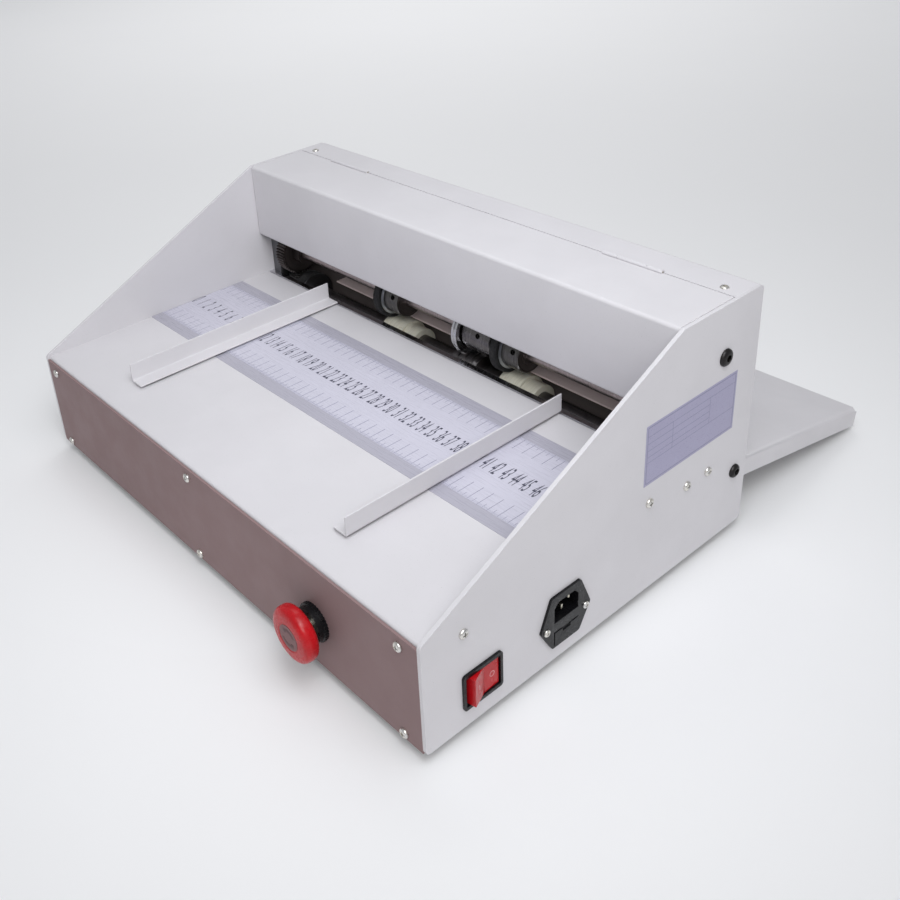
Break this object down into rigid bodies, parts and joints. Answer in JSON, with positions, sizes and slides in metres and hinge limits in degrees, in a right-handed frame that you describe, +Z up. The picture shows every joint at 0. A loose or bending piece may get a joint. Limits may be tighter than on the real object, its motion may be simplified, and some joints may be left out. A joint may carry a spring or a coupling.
{
  "type": "desktop paper creasing machine",
  "caption": "Desktop paper creasing machine with a sloped sheet-metal body, feed table with sliding guides, driven rollers, creasing head, hinged hood and output tray.",
  "frame": {"origin": "centre of the bounding box, on the bench under the rubber feet", "axes": "+Z up, +X to the right as seen by the user, front panel facing -Y"},
  "size_m": [0.5304, 0.5642, 0.222],
  "materials": {
    "grey_paint": "satin fine-textured powder coat",
    "zinc_sheet": "zinc-plated sheet",
    "polished_strip": "polished",
    "scale_print": "satin print on sheet",
    "exit_paint": "satin",
    "bright_screws": "zinc plated",
    "dark_bolts": "black oxide",
    "turned_steel": "turned",
    "block_alloy": "milled",
    "hub_alloy": "turned",
    "wheel_rubber": "matt",
    "foot_rubber": "matt",
    "belt_rubber": "matt",
    "nylon": "turned nylon",
    "gear_brass": "hobbed",
    "motor_metal": "satin",
    "board": "solder mask",
    "label": "laminated label",
    "black_plastic": "moulded",
    "rocker_red": "moulded",
    "stop_red": "moulded",
    "pin_metal": "nickel plated",
    "fuse_glass": "glass tube",
    "magnet": "ferrite strip"
  },
  "bodies": {
    "frame": {"left_side_plate": "grey_paint", "right_side_plate": "grey_paint", "base_plate": "zinc_sheet", "front_panel": "grey_paint", "feed_table": "grey_paint", "table_edge_strip": "polished_strip", "scale_plate": "scale_print", "exit_plate": "exit_paint", "rear_cover": "grey_paint", "rear_skirt": "grey_paint", "tie_bar": "turned_steel", "rubber_feet": "foot_rubber", "foot_screws": "bright_screws", "panel_screws": "bright_screws", "side_screws": "bright_screws", "frame_bolts": "dark_bolts", "tray_pivots": "dark_bolts", "tray_stop_pins": "turned_steel", "left_bearing_block": "block_alloy", "right_bearing_block": "block_alloy", "ball_bearings": "turned_steel", "drive_belt": "belt_rubber", "gear_motor": "motor_metal", "motor_bracket": "zinc_sheet", "control_board": "board", "rating_label": "label", "rocker_housing": "black_plastic", "inlet_housing": "black_plastic", "inlet_pins": "pin_metal", "inlet_screws": "dark_bolts", "estop_collar": "black_plastic", "estop_contact_block": "black_plastic", "hinge_fixed_leaves": "turned_steel", "hinge_pins": "turned_steel"},
    "hood": {"hinged_cover": "grey_paint", "hinge_moving_leaves": "turned_steel"},
    "tray": {"output_tray": "grey_paint"},
    "lower_roller_shaft": {"lower_shaft": "turned_steel", "crease_anvil": "turned_steel", "left_nylon_roller": "nylon", "right_nylon_roller": "nylon", "lower_gear": "gear_brass", "driven_pulley": "hub_alloy"},
    "upper_wheel_shaft": {"upper_shaft": "turned_steel", "left_feed_tyre": "wheel_rubber", "left_feed_hub": "hub_alloy", "right_feed_tyre": "wheel_rubber", "right_feed_hub": "hub_alloy", "creasing_head": "turned_steel", "upper_gear": "gear_brass"},
    "motor_output": {"motor_pulley": "hub_alloy"},
    "guide_left": {"left_guide": "grey_paint", "left_guide_magnets": "magnet"},
    "guide_right": {"right_guide": "grey_paint", "right_guide_magnets": "magnet"},
    "stop_plunger": {"estop_plunger": "turned_steel"},
    "stop_button": {"estop_head": "stop_red"},
    "power_rocker": {"rocker": "rocker_red"},
    "fuse_holder": {"fuse_drawer": "black_plastic", "fuse": "fuse_glass"}
  },
  "joints": [
    {"name": "cover_hinge", "type": "hinge", "parent": "frame", "child": "hood", "pos_m": [0, 0.05457, 0.22], "axis": [-1, 0, 0], "range_deg": [0, 120]},
    {"name": "tray_tilt", "type": "hinge", "parent": "frame", "child": "tray", "pos_m": [0, 0.07057, 0.0639], "axis": [1, 0, 0], "range_deg": [0, 50]},
    {"name": "lower_shaft_spin", "type": "hinge", "parent": "frame", "child": "lower_roller_shaft", "pos_m": [0, 0.02107, 0.082], "axis": [1, 0, 0], "continuous": true},
    {"name": "upper_shaft_spin", "type": "hinge", "parent": "frame", "child": "upper_wheel_shaft", "pos_m": [0, 0.02107, 0.125], "axis": [1, 0, 0], "continuous": true},
    {"name": "motor_pulley_spin", "type": "hinge", "parent": "frame", "child": "motor_output", "pos_m": [-0.2, -0.05343, 0.048], "axis": [1, 0, 0], "continuous": true},
    {"name": "left_guide_slide", "type": "slide", "parent": "frame", "child": "guide_left", "axis": [-1, 0, 0], "range_m": [-0.0735, 0.1015]},
    {"name": "right_guide_slide", "type": "slide", "parent": "frame", "child": "guide_right", "axis": [1, 0, 0], "range_m": [-0.07, 0.105]},
    {"name": "stop_push", "type": "slide", "parent": "frame", "child": "stop_plunger", "axis": [0, 1, 0], "range_m": [0, 0.004], "stiffness_N_per_m": 1500},
    {"name": "stop_twist", "type": "hinge", "parent": "stop_plunger", "child": "stop_button", "pos_m": [0.1505, -0.27043, 0.0505], "axis": [0, 1, 0], "range_deg": [0, 35], "stiffness_Nm_per_rad": 0.05},
    {"name": "rocker_tilt", "type": "hinge", "parent": "frame", "child": "power_rocker", "pos_m": [0.256, -0.20763, 0.0407], "axis": [0, 0, -1], "range_deg": [0, 24]},
    {"name": "fuse_drawer_slide", "type": "slide", "parent": "frame", "child": "fuse_holder", "axis": [1, 0, 0], "range_m": [0, 0.02]}
  ],
  "couplings": [
    {"joint": "upper_shaft_spin", "follows": "lower_shaft_spin", "ratio": -0.79167},
    {"joint": "motor_pulley_spin", "follows": "lower_shaft_spin", "ratio": 2}
  ]
}
